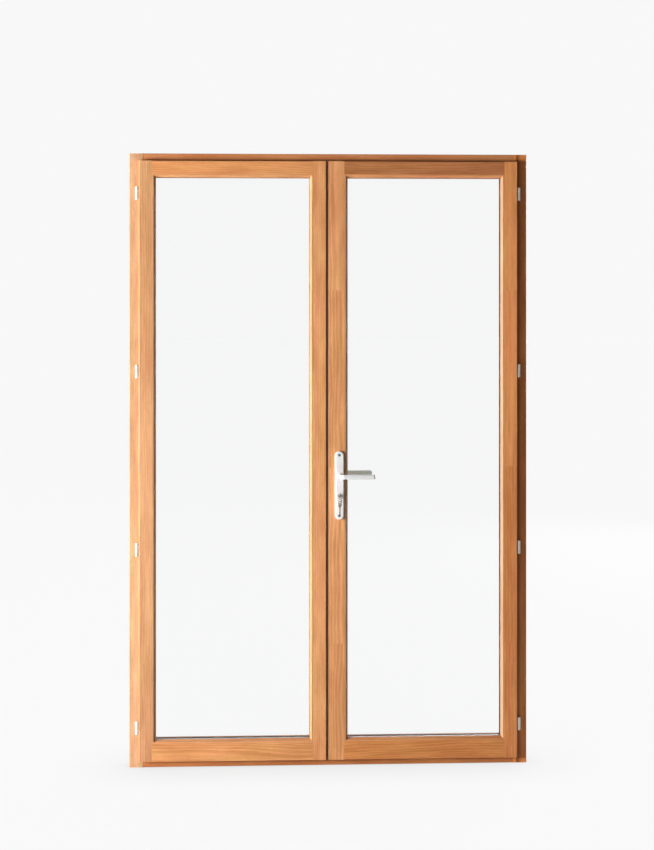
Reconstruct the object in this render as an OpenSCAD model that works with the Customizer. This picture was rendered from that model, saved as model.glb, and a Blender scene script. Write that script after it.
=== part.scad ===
// A pair of inward opening french doors in their timber frame.
// X runs across the doorway and Z runs up from the underside of the sill.
// The room is on the -Y side and outdoors is on the +Y side.
// The left leaf is the second one to open; the right leaf carries the lock and the levers.

/* [Frame] */
// Overall width of the frame
frame_w = 1400; // [1200:10:1900]
// Overall height of the frame
frame_h = 2150; // [1900:10:2500]
// Depth of the frame timber through the wall
frame_d = 60; // [56:1:90]
// Frame edge left showing beside each leaf
side_margin = 34.5; // [30:0.5:60]
// Frame edge left showing above the leaves
head_margin = 26; // [20:0.5:60]
// Frame edge left showing below the leaves
sill_margin = 22; // [18:0.5:60]
// Width of the stop that the leaves close towards
stop_w = 15; // [12:1:25]
// Thickness of that stop through the wall
stop_t = 16; // [12:1:20]
// Distance of the end fixing holes from the top and the bottom
fixing_end = 220; // [160:5:300]
// Distance between the two middle fixing holes
fixing_mid = 450; // [300:10:600]
// Diameter of the frame fixing holes
fixing_d = 8.5; // [6:0.5:12]

/* [Leaves] */
// Thickness of a leaf
leaf_t = 58; // [54:1:72]
// Thickness of the lip that laps over the frame
lip_t = 17; // [14:1:22]
// How far a leaf laps over the frame
lap = 15; // [11:0.5:18]
// Gap round a leaf inside the frame
rebate_gap = 3.5; // [2.5:0.5:5]
// Gap behind the lip of a leaf
lip_gap = 1; // [0.8:0.1:2]
// Visible width of stiles and top rail, bead included
stile_face = 58; // [54:1:90]
// Visible width of the lock stile, bead included
lock_stile_face = 70; // [68:1:100]
// Visible height of the bottom rail, bead included
bottom_face = 76; // [60:1:160]
// How far the line between the leaves lies to the left of the middle
meet_offset = 7; // [0:1:20]
// Visible gap between the two leaves
meet_gap = 5.5; // [4:0.5:8]
// How far the body of the lock leaf is set back behind its lip
meet_step = 15; // [13:0.5:18]
// Radius of the softened edges of the timber
arris = 2.5; // [1:0.5:4]

/* [Glazing] */
// Width of a glazing bead
bead_w = 12; // [11:0.5:20]
// Depth of a glazing bead
bead_d = 16; // [14:1:20]
// Width of the slope on a bead
bead_slope_w = 7; // [4:0.5:9]
// Depth of the slope on a bead
bead_slope_d = 10; // [4:0.5:12]
// Thickness of one glass pane
pane_t = 4; // [3:1:6]
// Width of the sealed space between the panes
cavity = 16; // [12:1:18]
// Thickness of the glazing tape on each side of the glass
tape_t = 2; // [1:0.5:3]
// Space between the edge of the glass and the timber
glass_edge_gap = 3; // [2:0.5:5]
// Height of the spacer bar between the panes
spacer_h = 7; // [5:0.5:9]
// Length of a setting block under the glass
block_len = 100; // [50:10:120]

/* [Hinges] */
// Hinges on each leaf
hinge_count = 4; // [3:1:5]
// Height of the lowest hinge, and depth of the highest one
hinge_end = 140; // [100:5:250]
// Diameter of the hinge barrel
barrel_d = 12; // [10:0.5:13]
// Height of the whole hinge barrel
barrel_h = 46; // [36:1:60]
// Distance of the hinge line from the edge of the leaf
hinge_stand = 6.5; // [6.5:0.5:9]
// Diameter of the hinge pin
hinge_pin_d = 7; // [5:0.5:8]
// Diameter of the screwed stems
stem_d = 7; // [5:0.5:8]
// Length of the stem that goes into the timber
stem_len = 32; // [20:1:34]
// Gap between the two knuckles of a hinge
knuckle_gap = 0.3; // [0.2:0.1:1]

/* [Handle] */
// Height of the lever above the underside of the sill
lever_z = 1019; // [950:1:1100]
// Distance from the lever to the key cylinder
lock_centres = 70; // [65:1:92]
// Distance of the lever from the visible edge of the leaf
lever_in = 40.25; // [38:0.25:45]
// Width of a handle plate
plate_w = 30; // [26:1:34]
// Length of a handle plate
plate_len = 240; // [225:1:280]
// Thickness of a handle plate
plate_t = 8; // [6:0.5:10]
// Slope round the edge of a handle plate
plate_bevel = 2; // [0.5:0.5:3]
// How far the plate reaches above the lever
plate_above = 87; // [60:1:120]
// Distance between the two plate screws
plate_screw_gap = 212; // [200:1:230]
// Length of a lever from its turning line
lever_len = 123; // [90:1:140]
// Height of the lever bar
lever_h = 16.5; // [14:0.5:20]
// Thickness of the lever bar
lever_t = 11; // [8:0.5:14]
// Straight neck between plate and elbow
neck_len = 26; // [18:1:45]
// Radius of the elbow on its middle line
elbow_r = 15; // [12:1:25]
// Side of the square spindle
spindle = 8; // [7:0.5:9]
// How far the lever turns down
lever_swing = 40; // [30:1:45]

/* [Lock] */
// Thickness of the lock case
case_t = 15; // [12:0.5:18]
// Thickness of the lock faceplate and of the strike plate
face_t = 3; // [2:0.5:4]
// Width of the lock faceplate and of the strike plate
face_w = 20; // [16:0.5:22]
// Throw of the latch
latch_throw = 12; // [9:0.5:14]
// Throw of the deadbolt
dead_throw = 20; // [14:0.5:22]
// Radius of the cylinder cam
cam_r = 13; // [11:0.5:13.5]
// How far the cylinder stands out of each handle plate
cylinder_proud = 2; // [0:0.5:3]
// Throw of the two slide bolts of the left leaf
bolt_throw = 14; // [10:1:18]
// Length of a slide bolt
bolt_len = 130; // [100:5:200]

/* [Hidden] */
$fn = 48;
far = 1;                 // reach of a cut beyond the body it cuts
fit = 0.1;               // clearance round stems and screws
run = 0.05;              // radial clearance of a turning fit
pressed = 0.02;          // radial clearance of a pin that stays in its hole
slide_gap = 0.4;         // clearance of a sliding fit
seal_gap = 0.3;          // space between a soft seal and its neighbour

// Depths through the wall
face_y = -frame_d / 2;                       // room face of the frame
back_y = frame_d / 2;                        // outdoor face of the frame
lip_back_y = face_y - lip_gap;               // back of the lip of a leaf
room_y = lip_back_y - lip_t;                 // room face of a leaf
out_y = room_y + leaf_t;                     // outdoor face of a leaf
stop_room = 0.8;                             // least space between a leaf and the stop
stop_y = max(back_y - stop_t, out_y + stop_room);
stop_depth = back_y - stop_y;                // stop_t, or less where a thick leaf needs the room
unit_t = 2 * pane_t + cavity;                // thickness of the sealed glass unit
bead_back_y = room_y + bead_d;
inner_pane_y = bead_back_y + tape_t;
outer_pane_y = inner_pane_y + pane_t + cavity;
rail_lip_y = inner_pane_y + unit_t + tape_t; // front of the outdoor lip round the glass
edge_in = lap + rebate_gap;                  // set back of a leaf's body behind its lip

// Places across the doorway
half_w = frame_w / 2;
side_rebate = side_margin + lap;             // jamb edge to rebate
head_rebate = head_margin + lap;
sill_rebate = sill_margin + lap;
leaf_edge = half_w - side_margin;            // hinge edge of a leaf's lip
left_free = -meet_offset - meet_gap / 2;     // free edge of the left leaf, room side
right_free = -meet_offset + meet_gap / 2;    // free edge of the right leaf, room side
left_w = leaf_edge + left_free;
right_w = leaf_edge - right_free;
lock_edge = right_free + meet_step;          // edge of the lock leaf behind its lip
keep_edge = lock_edge - rebate_gap;          // edge of the left leaf behind that lip
left_tongue = keep_edge - left_free;         // how far the left leaf runs in behind the lip
leaf_z0 = sill_margin;
leaf_z1 = frame_h - head_margin;
body_z0 = leaf_z0 + edge_in;
body_z1 = leaf_z1 - edge_in;
edge_y = (lip_back_y + out_y) / 2;           // middle of a leaf's edge behind the lip

// Hinges
hinge_x = leaf_edge + hinge_stand;
hinge_y = room_y + lip_t / 2;
barrel_r = barrel_d / 2;
leaf_knuckle_h = (barrel_h - knuckle_gap) / 2;
hinge_step = (frame_h - 2 * hinge_end) / (hinge_count - 1);
hinge_z = [for (i = [0 : hinge_count - 1]) hinge_end + i * hinge_step];
leaf_stem_up = 7.5;                          // leaf stem above the middle of the barrel
frame_stem_down = 11.5;                      // frame stem below the middle of the barrel
barrel_edge = 1;                             // slope at the ends of the barrel
pin_cap = 3;                                 // metal left over the end of the pin
stem_root = 1;                               // how far a stem runs into its barrel

// Handle and lock
lever_x = right_free + lever_in;
cyl_z = lever_z - lock_centres;
plate_top = lever_z + plate_above;
plate_mid = plate_top - plate_len / 2;
plate_r = plate_w / 2;
screw_zs = [plate_mid - plate_screw_gap / 2, plate_mid + plate_screw_gap / 2];
screw_d = 5;
screw_head_d = 9;
screw_head_h = 2.5;
journal_d = 16;                              // round neck that turns in the plate
cyl_d = 17;                                  // round part of the key cylinder
cyl_lobe_w = 10;
cyl_drop = 24.5;                             // middle of the plug to the foot of the cylinder
plug_d = 13;
cyl_y0 = room_y - plate_t - cylinder_proud;
cyl_y1 = out_y + plate_t + cylinder_proud;
cam_t = 9;
cam_room = 10;                               // width of the slot for the cam
cam_hub_r = 8.3;
cam_tooth_w = 6;
cyl_screw_drop = 20;                         // cylinder screw below the middle of the plug
cyl_screw_z = cyl_z - cyl_screw_drop;

case_wall = 1.5;
case_below = 7;                              // case beyond the foot of the cylinder
case_above = 42;                             // case above the lever
cam_gap = 0.5;                               // space between the cam and the wall of the case
case_x0 = lock_edge + face_t;
case_x1 = lever_x + cam_r + cam_gap + case_wall;
case_z0 = cyl_z - cyl_drop - case_below;
case_z1 = lever_z + case_above;
case_y0 = edge_y - case_t / 2;
case_y1 = edge_y + case_t / 2;
case_room = 0.4;                             // space round the case in the stile
plate_margin = 22;                           // faceplate beyond the case
plate_hole_d = 19;                           // hole in the timber for the spindle

hub_r = 9;
hub_t = 11;
arm_r = 18.2;                                // reach of the arm that draws the latch
arm_w = 4;
arm_lean = 35;                               // lean of the arm when the lever is level
latch_up = 26;                               // latch above the lever
latch_z = lever_z + latch_up;
latch_h = 14;
latch_t = 10;
latch_nose = 2;                              // thickness of the tip of the latch
latch_flat = 1;                              // square part outside the case
lug_t = 3;
lug_gap = 0.9;
lug_up = 16;                                 // foot of the latch's lug above the lever
arm_side = lever_x - lug_up * tan(arm_lean) + arm_w / 2 / cos(arm_lean);
latch_tail = arm_side + lug_gap + lug_t;
dead_h = 20;
dead_t = 10;
dead_up = 2;                                 // deadbolt above the reach of the cam
dead_z = cyl_z + cam_r + dead_up + dead_h / 2;
dead_in = 13;                                // part of the thrown deadbolt left in the lock
dead_tail = lock_edge + dead_throw + dead_in;

// Slide bolts of the left leaf
bolt_w = 8;                                  // across the edge
bolt_deep = 7;                               // into the edge
bolt_plate_len = 200;
channel_short = 20;                          // channel shorter than its plate
bolt_set = 1;                                // tip below the end of the leaf when drawn
tab_len = 14;
tab_h = 1.6;
tab_from_end = 90;
tab_room = 2;                                // space at the ends of the tab's slot
slot_shoulder = 1;                           // how far the bolt laps the edges of the slot
tab_slot_w = bolt_w - 2 * slot_shoulder;
bolt_room = 2;                               // pocket beyond the end of a thrown bolt

// ---------------------------------------------------------------- helpers

// Cuts the outside corner at [x, y]; the timber lies towards sx, sy.
module corner_cut(x, y, sx, sy, r) {
    translate([x, y])
        difference() {
            translate([sx > 0 ? -far : -r, sy > 0 ? -far : -r])
                square(r + far);
            translate([sx * r, sy * r])
                circle(r);
        }
}

// A box from one corner to the opposite one.
module block(low, high) {
    translate(low)
        cube(high - low);
}

// An upright length with its outline in X and Y.
module upright(z0, z1) {
    translate([0, 0, z0])
        linear_extrude(z1 - z0)
            children();
}

// A level length from x0 to x1; the outline's X runs down from z.
module hanging(x0, x1, z) {
    translate([x0, 0, z])
        rotate([0, 90, 0])
            linear_extrude(x1 - x0)
                children();
}

// A level length from x0 to x1; the outline's X runs up from z.
module standing(x0, x1, z) {
    translate([0, 0, z])
        mirror([0, 0, 1])
            hanging(x0, x1, 0)
                children();
}

// A round bar along Y from y0 to y1.
module bar_y(x, z, d, y0, y1) {
    translate([x, y0, z])
        rotate([-90, 0, 0])
            cylinder(h = y1 - y0, d = d);
}

// A round bar along X from x0 to x1.
module bar_x(y, z, d, x0, x1) {
    translate([x0, y, z])
        rotate([0, 90, 0])
            cylinder(h = x1 - x0, d = d);
}

// A flat ring in X and Z, from y0 to y1.
module ring(x0, x1, z0, z1, w, y0, y1) {
    difference() {
        block([x0, y0, z0], [x1, y1, z1]);
        block([x0 + w, y0 - far, z0 + w], [x1 - w, y1 + far, z1 - w]);
    }
}

// Puts a left hand part on the right hand side.
module other_side() {
    mirror([1, 0, 0])
        children();
}

// ---------------------------------------------------------------- frame

// Outline of a frame timber, from its outer edge inwards.
module frame_outline(rebate) {
    difference() {
        union() {
            translate([0, face_y])
                square([rebate, frame_d]);
            translate([0, stop_y])
                square([rebate + stop_w, stop_depth]);
        }
        corner_cut(0, face_y, 1, 1, arris);
        corner_cut(rebate, face_y, -1, 1, arris);
        corner_cut(rebate + stop_w, back_y, -1, -1, arris);
        corner_cut(rebate + stop_w, stop_y, -1, 1, arris / 2);
    }
}

fixing_zs = [fixing_end, frame_h / 2 - fixing_mid / 2,
    frame_h / 2 + fixing_mid / 2, frame_h - fixing_end];
fixing_y = (face_y + stop_y) / 2;
fixing_head_d = 15;
fixing_head_depth = 9;

// A jamb at the left: full height, with fixing holes and holes for the hinge stems.
module jamb() {
    difference() {
        translate([-half_w, 0, 0])
            upright(0, frame_h)
                frame_outline(side_rebate);
        for (z = fixing_zs) {
            bar_x(fixing_y, z, fixing_d, -half_w - far, -half_w + side_rebate + far);
            bar_x(fixing_y, z, fixing_head_d,
                -half_w + side_rebate - fixing_head_depth, -half_w + side_rebate + far);
        }
        for (z = hinge_z)
            bar_y(-hinge_x, z - frame_stem_down, stem_d + 2 * fit,
                face_y - far, face_y + stem_len + fit);
    }
}

module jamb_left() {
    color("peru")
        jamb();
}

module jamb_right() {
    color("peru")
        other_side()
            jamb();
}

// Removes the part of a cross timber where the jamb's stop runs past.
module jamb_stops(z0, z1) {
    inner = half_w - side_rebate - stop_w;
    for (s = [-1, 1])
        translate([s * (inner + stop_w / 2 + far / 2), (stop_y + back_y) / 2, (z0 + z1) / 2])
            cube([stop_w + far, stop_depth, z1 - z0 + 2 * far], center = true);
}

keep_len = 60;
keep_t = 2;
keep_x = keep_edge - bolt_deep / 2 - face_t - slide_gap;
keep_play = 1;           // space round a bolt in its keep
keep_room = 2;           // pocket beyond the reach of a bolt
keep_pocket = bolt_throw - rebate_gap + keep_room;

// Pocket and seat of one keep; z is the rebate's surface, s points into the timber.
module keep_cut(z, s) {
    w = bolt_deep + 2 * keep_play;
    translate([keep_x, edge_y, z + s * keep_t / 2])
        cube([keep_len + 2 * fit, face_w + 2 * fit, keep_t + 2 * fit], center = true);
    translate([keep_x, edge_y, z + s * (keep_pocket + keep_t) / 2])
        cube([w, bolt_w + 2 * keep_play, keep_pocket + keep_t], center = true);
}

module frame_head() {
    color("peru")
        difference() {
            hanging(-half_w + side_rebate, half_w - side_rebate, frame_h)
                frame_outline(head_rebate);
            jamb_stops(frame_h - head_rebate - stop_w, frame_h);
            keep_cut(frame_h - head_rebate, 1);
        }
}

module frame_sill() {
    color("peru")
        difference() {
            standing(-half_w + side_rebate, half_w - side_rebate, 0)
                frame_outline(sill_rebate);
            jamb_stops(0, sill_rebate + stop_w);
            keep_cut(sill_rebate, -1);
        }
}

// Rubber seal on the stops, all the way round.
seal_w = 5;
seal_set = 2;            // seal in from the edge of a leaf
seal_in = rebate_gap + seal_set;
module frame_seal() {
    x = half_w - side_rebate - seal_in;
    color("dimgray")
        ring(-x, x, sill_rebate + seal_in, frame_h - head_rebate - seal_in, seal_w,
            out_y + seal_gap, stop_y);
}

// Metal keeps for the slide bolts, in the head and the sill.
module keep(z, s) {
    difference() {
        translate([keep_x, edge_y, z + s * keep_t / 2])
            cube([keep_len, face_w, keep_t], center = true);
        translate([keep_x, edge_y, z + s * keep_t / 2])
            cube([bolt_deep + 2 * keep_play, bolt_w + 2 * keep_play, keep_t + far], center = true);
    }
}

module bolt_keeps() {
    color("silver") {
        keep(frame_h - head_rebate, 1);
        keep(sill_rebate, -1);
    }
}

// ---------------------------------------------------------------- hinges

// One knuckle from z0 to z1 round the hinge line, closed at the end that shows.
module knuckle(z0, z1, closed_top, bore) {
    low = closed_top ? 0 : barrel_edge;
    high = closed_top ? barrel_edge : 0;
    h = z1 - z0;
    translate([0, 0, z0])
        difference() {
            rotate_extrude()
                polygon([[0, 0], [barrel_r - low, 0], [barrel_r, low],
                    [barrel_r, h - high], [barrel_r - high, h], [0, h]]);
            translate([0, 0, closed_top ? -far : pin_cap])
                cylinder(h = h - pin_cap + far, d = bore);
        }
}

// Lower knuckles stand on the frame with a stem that screws straight back into it.
module frame_knuckles() {
    for (z = hinge_z)
        translate([-hinge_x, hinge_y, z]) {
            knuckle(-barrel_h / 2, -knuckle_gap / 2, false, hinge_pin_d + 2 * pressed);
            bar_y(0, -frame_stem_down, stem_d, barrel_r - stem_root, face_y + stem_len - hinge_y);
        }
}

module frame_knuckles_left() {
    color("silver")
        frame_knuckles();
}

module frame_knuckles_right() {
    color("silver")
        other_side()
            frame_knuckles();
}

// Upper knuckles turn with a leaf; their stems screw into its edge.
module leaf_knuckles() {
    for (z = hinge_z)
        translate([-hinge_x, hinge_y, z]) {
            knuckle(knuckle_gap / 2, barrel_h / 2, true, hinge_pin_d + 2 * run);
            bar_x(0, leaf_stem_up, stem_d, barrel_r - stem_root, hinge_stand + stem_len);
        }
}

module left_knuckles() {
    color("silver")
        leaf_knuckles();
}

module right_knuckles() {
    color("silver")
        other_side()
            leaf_knuckles();
}

module hinge_pins() {
    color("lightgray")
        for (s = [-1, 1])
            for (z = hinge_z)
                translate([s * hinge_x, hinge_y, z - barrel_h / 2 + pin_cap])
                    cylinder(h = barrel_h - 2 * pin_cap - knuckle_gap, d = hinge_pin_d);
}

// ---------------------------------------------------------------- leaf timbers

// Outline of a stile or rail, from its visible outer edge inwards.
module leaf_outline(face, set_back) {
    bottom = face - bead_w;
    difference() {
        union() {
            translate([0, room_y])
                square([bottom, lip_t]);
            translate([set_back, room_y])
                square([bottom - set_back, leaf_t]);
            translate([set_back, rail_lip_y])
                square([face - set_back, out_y - rail_lip_y]);
        }
        corner_cut(0, room_y, 1, 1, arris);
        corner_cut(0, lip_back_y, 1, -1, arris / 2);
        corner_cut(set_back, out_y, 1, -1, arris);
        corner_cut(face, out_y, -1, -1, arris);
    }
}

// Cuts the ends of an upright back behind the lip, for the head and the sill.
module end_steps(x0, x1) {
    block([x0 - far, lip_back_y, body_z1], [x1 + far, out_y + far, leaf_z1 + far]);
    block([x0 - far, lip_back_y, leaf_z0 - far], [x1 + far, out_y + far, body_z0]);
}

// The hinge stile of the left leaf; the right leaf has its mirror image.
module hinge_stile() {
    x0 = -leaf_edge;
    difference() {
        translate([x0, 0, 0])
            upright(leaf_z0, leaf_z1)
                leaf_outline(stile_face, edge_in);
        end_steps(x0, x0 + stile_face);
        for (z = hinge_z)
            bar_x(hinge_y, z + leaf_stem_up, stem_d + 2 * fit,
                x0 - far, x0 + stem_len + fit);
    }
}

module left_hinge_stile() {
    color("peru")
        hinge_stile();
}

module right_hinge_stile() {
    color("peru")
        other_side()
            hinge_stile();
}

// A rail between the stiles of a leaf; x0 and x1 are the leaf's lip edges.
module rail_cut(x0, x1, f0, f1, z0, z1) {
    block([x0 - far, rail_lip_y, z0 - far], [x0 + f0, out_y + far, z1 + far]);
    block([x1 - f1, rail_lip_y, z0 - far], [x1 + far, out_y + far, z1 + far]);
}

module top_rail(x0, x1, f0, f1) {
    difference() {
        hanging(x0 + f0 - bead_w, x1 - f1 + bead_w, leaf_z1)
            leaf_outline(stile_face, edge_in);
        rail_cut(x0, x1, f0, f1, leaf_z1 - stile_face, leaf_z1);
    }
}

module bottom_rail(x0, x1, f0, f1) {
    difference() {
        standing(x0 + f0 - bead_w, x1 - f1 + bead_w, leaf_z0)
            leaf_outline(bottom_face, edge_in);
        rail_cut(x0, x1, f0, f1, leaf_z0, leaf_z0 + bottom_face);
    }
}

// ---------------------------------------------------------------- glazing

bead_fit = 0.2;          // hairline round a bead
tape_back = 1;           // glazing tape kept back from the edge that shows

// One mitred bead of length len; it starts at the corner of the rebate and
// runs up, with its back edge on X = 0.
module bead(len) {
    w = bead_w - bead_fit;
    flat = bead_w - bead_slope_w - bead_fit;
    difference() {
        translate([0, 0, bead_fit])
            linear_extrude(len - 2 * bead_fit)
                translate([bead_fit, 0])
                    polygon([[0, room_y], [flat, room_y], [w, room_y + bead_slope_d],
                        [w, bead_back_y], [0, bead_back_y]]);
        for (m = [0, 1])
            translate([0, 0, m * len])
                mirror([0, 0, m])
                    translate([0, bead_back_y + far, 0])
                        rotate([90, 0, 0])
                            linear_extrude(bead_d + 2 * far)
                                polygon([[-far, -far - bead_fit / 2], [bead_w + far, -far - bead_fit / 2],
                                    [bead_w + far, bead_w + far + bead_fit / 2],
                                    [-far, -far + bead_fit / 2]]);
    }
}

// The glass rebate of a leaf, as [x0, x1, z0, z1].
function pocket(x0, x1, f0, f1) = [x0 + f0 - bead_w, x1 - f1 + bead_w,
    leaf_z0 + bottom_face - bead_w, leaf_z1 - stile_face + bead_w];

module upright_beads(p) {
    translate([p[0], 0, p[2]])
        bead(p[3] - p[2]);
    translate([p[1], 0, p[2]])
        mirror([1, 0, 0])
            bead(p[3] - p[2]);
}

module level_beads(p) {
    translate([p[1], 0, p[2]])
        rotate([0, -90, 0])
            bead(p[1] - p[0]);
    translate([p[0], 0, p[3]])
        rotate([0, 90, 0])
            bead(p[1] - p[0]);
}

module pane(p, y) {
    g = glass_edge_gap;
    block([p[0] + g, y, p[2] + g], [p[1] - g, y + pane_t, p[3] - g]);
}

module spacer(p) {
    g = glass_edge_gap;
    ring(p[0] + g, p[1] - g, p[2] + g, p[3] - g, spacer_h,
        inner_pane_y + pane_t, outer_pane_y);
}

module glazing_tapes(p) {
    g = glass_edge_gap;
    for (y = [bead_back_y, rail_lip_y - tape_t])
        ring(p[0] + g, p[1] - g, p[2] + g, p[3] - g, bead_w - g - tape_back, y, y + tape_t);
}

module setting_blocks(p) {
    for (x = [p[0] + (p[1] - p[0]) / 4, p[1] - (p[1] - p[0]) / 4])
        block([x - block_len / 2, inner_pane_y, p[2]],
            [x + block_len / 2, inner_pane_y + unit_t, p[2] + glass_edge_gap]);
}

left_pocket = pocket(-leaf_edge, left_free, stile_face, stile_face);
right_pocket = pocket(right_free, leaf_edge, lock_stile_face, stile_face);

module left_top_rail() {
    color("peru")
        top_rail(-leaf_edge, left_free, stile_face, stile_face);
}

module right_top_rail() {
    color("peru")
        top_rail(right_free, leaf_edge, lock_stile_face, stile_face);
}

module left_bottom_rail() {
    color("peru")
        bottom_rail(-leaf_edge, left_free, stile_face, stile_face);
}

module right_bottom_rail() {
    color("peru")
        bottom_rail(right_free, leaf_edge, lock_stile_face, stile_face);
}

module left_upright_beads() {
    color("sienna")
        upright_beads(left_pocket);
}

module right_upright_beads() {
    color("sienna")
        upright_beads(right_pocket);
}

module left_level_beads() {
    color("sienna")
        level_beads(left_pocket);
}

module right_level_beads() {
    color("sienna")
        level_beads(right_pocket);
}

module left_inner_pane() {
    color("lightcyan", 0.3)
        pane(left_pocket, inner_pane_y);
}

module right_inner_pane() {
    color("lightcyan", 0.3)
        pane(right_pocket, inner_pane_y);
}

module left_outer_pane() {
    color("lightcyan", 0.3)
        pane(left_pocket, outer_pane_y);
}

module right_outer_pane() {
    color("lightcyan", 0.3)
        pane(right_pocket, outer_pane_y);
}

module left_spacer() {
    color("silver")
        spacer(left_pocket);
}

module right_spacer() {
    color("silver")
        spacer(right_pocket);
}

module left_glazing_tapes() {
    color("black")
        glazing_tapes(left_pocket);
}

module right_glazing_tapes() {
    color("black")
        glazing_tapes(right_pocket);
}

module left_setting_blocks() {
    color("black")
        setting_blocks(left_pocket);
}

module right_setting_blocks() {
    color("black")
        setting_blocks(right_pocket);
}

// ---------------------------------------------------------------- left leaf: meeting edge

seal_groove_w = 4;
seal_groove_d = 3;
seal_end = 5;            // seal shorter than its groove at each end
seal_x = (right_free + keep_edge) / 2;
tongue_y = lip_back_y + lip_gap;             // front of the part behind the lock leaf's lip

// The slide bolt's channel runs out through the end of the leaf.
// s is 1 at the top and -1 at the bottom; z is the end of the leaf's body.
module bolt_channel(z, s) {
    long = bolt_plate_len - channel_short;
    w = bolt_w + 2 * slide_gap;
    translate([keep_edge - face_t - (bolt_deep + 2 * slide_gap) / 2, edge_y, z - s * long / 2 + s * far / 2])
        cube([bolt_deep + 2 * slide_gap, w, long + far], center = true);
    translate([keep_edge - face_t / 2 + far / 2, edge_y, z - s * bolt_plate_len / 2 + s * far / 2])
        cube([face_t + far, face_w + 2 * fit, bolt_plate_len + far], center = true);
}

latch_window = 1;        // space round the bolts in the strike plate
strike_margin = 28;      // strike plate beyond the bolts
strike_z0 = dead_z - dead_h / 2 - strike_margin;
strike_z1 = latch_z + latch_h / 2 + strike_margin;

module left_meeting_stile() {
    bottom = stile_face - bead_w;
    color("peru")
        difference() {
            translate([left_free, 0, 0])
                mirror([1, 0, 0])
                    upright(leaf_z0, leaf_z1)
                        difference() {
                            union() {
                                translate([0, room_y])
                                    square([bottom, leaf_t]);
                                translate([-left_tongue, tongue_y])
                                    square([left_tongue + bottom, out_y - tongue_y]);
                                translate([0, rail_lip_y])
                                    square([stile_face, out_y - rail_lip_y]);
                            }
                            corner_cut(0, room_y, 1, 1, arris);
                            corner_cut(-left_tongue, tongue_y, 1, 1, arris / 2);
                            corner_cut(-left_tongue, out_y, 1, -1, arris);
                            corner_cut(stile_face, out_y, -1, -1, arris);
                        }
            end_steps(left_free - stile_face, keep_edge);
            block([seal_x - seal_groove_w / 2, tongue_y - far, body_z0 - far],
                [seal_x + seal_groove_w / 2, tongue_y + seal_groove_d, body_z1 + far]);
            block([keep_edge - face_t, edge_y - face_w / 2 - fit, strike_z0 - fit],
                [keep_edge + far, edge_y + face_w / 2 + fit, strike_z1 + fit]);
            block([lock_edge - latch_throw - bolt_room, edge_y - latch_t / 2 - latch_window,
                    latch_z - latch_h / 2 - latch_window],
                [keep_edge, edge_y + latch_t / 2 + latch_window,
                    latch_z + latch_h / 2 + latch_window]);
            block([lock_edge - dead_throw - bolt_room, edge_y - dead_t / 2 - latch_window,
                    dead_z - dead_h / 2 - latch_window],
                [keep_edge, edge_y + dead_t / 2 + latch_window,
                    dead_z + dead_h / 2 + latch_window]);
            bolt_channel(body_z1, 1);
            bolt_channel(body_z0, -1);
            for (z = left_screw_zs)
                bar_x(edge_y, z, edge_screw_d + 2 * fit, keep_edge - edge_screw_len - fit, keep_edge);
        }
}

module meeting_seal() {
    color("dimgray")
        block([seal_x - seal_groove_w / 2, lip_back_y + seal_gap, body_z0 + seal_end],
            [seal_x + seal_groove_w / 2, tongue_y + seal_groove_d, body_z1 - seal_end]);
}

module strike_plate() {
    color("silver")
        difference() {
            block([keep_edge - face_t, edge_y - face_w / 2, strike_z0],
                [keep_edge, edge_y + face_w / 2, strike_z1]);
            for (b = [[latch_z, latch_h, latch_t], [dead_z, dead_h, dead_t]])
                translate([keep_edge - face_t / 2, edge_y, b[0]])
                    cube([face_t + far, b[2] + 2 * latch_window, b[1] + 2 * latch_window], center = true);
            for (z = strike_screw_zs)
                screw_seat(keep_edge, z);
        }
}

// Face plates of the two slide bolts, with a window for the thumb tab.
module bolt_plate(z, s) {
    window = tab_len + bolt_throw + 2 * tab_room;
    tab_mid = z - s * (tab_from_end + bolt_set);
    difference() {
        translate([keep_edge - face_t / 2, edge_y, z - s * bolt_plate_len / 2])
            cube([face_t, face_w, bolt_plate_len], center = true);
        translate([keep_edge - face_t / 2, edge_y, tab_mid + s * bolt_throw / 2])
            cube([face_t + far, tab_slot_w, window], center = true);
        screw_seat(keep_edge, z - s * bolt_screw_in);
    }
}

module bolt_plates() {
    color("silver") {
        bolt_plate(body_z1, 1);
        bolt_plate(body_z0, -1);
    }
}

// Countersunk screws in the edge plates
edge_screw_d = 3.5;
edge_screw_len = 25;
edge_head_d = 7;
edge_head_h = 1.8;
screw_point = 3;
cross_len = 3.6;
cross_w = 0.8;
cross_d = 1;
strike_screw_end = 10;   // strike plate's screws from its ends
bolt_screw_end = 8;      // slide bolt plate's screw from its inner end
strike_screw_zs = [strike_z0 + strike_screw_end, strike_z1 - strike_screw_end];
bolt_screw_in = bolt_plate_len - bolt_screw_end;
left_screw_zs = concat(strike_screw_zs, [body_z1 - bolt_screw_in, body_z0 + bolt_screw_in]);

module screw_seat(x, z) {
    bar_x(edge_y, z, edge_screw_d + 2 * fit, x - face_t - far, x + far);
    translate([x - edge_head_h - fit, edge_y, z])
        rotate([0, 90, 0])
            cylinder(h = edge_head_h + fit, d1 = edge_screw_d + 2 * fit, d2 = edge_head_d + 2 * fit);
    bar_x(edge_y, z, edge_head_d + 2 * fit, x, x + far);
}

// One countersunk wood screw; its head is flush with the plate at x and it points to -X.
module edge_screw(x, z) {
    translate([x, edge_y, z])
        rotate([0, -90, 0])
            difference() {
                rotate_extrude()
                    polygon([[0, 0], [edge_head_d / 2, 0], [edge_screw_d / 2, edge_head_h],
                        [edge_screw_d / 2, edge_screw_len - screw_point], [0, edge_screw_len]]);
                for (a = [0, 90])
                    rotate([0, 0, a])
                        block([-cross_len / 2, -cross_w / 2, -far], [cross_len / 2, cross_w / 2, cross_d]);
            }
}

module left_screws() {
    color("lightgray")
        for (z = left_screw_zs)
            edge_screw(keep_edge, z);
}

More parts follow.
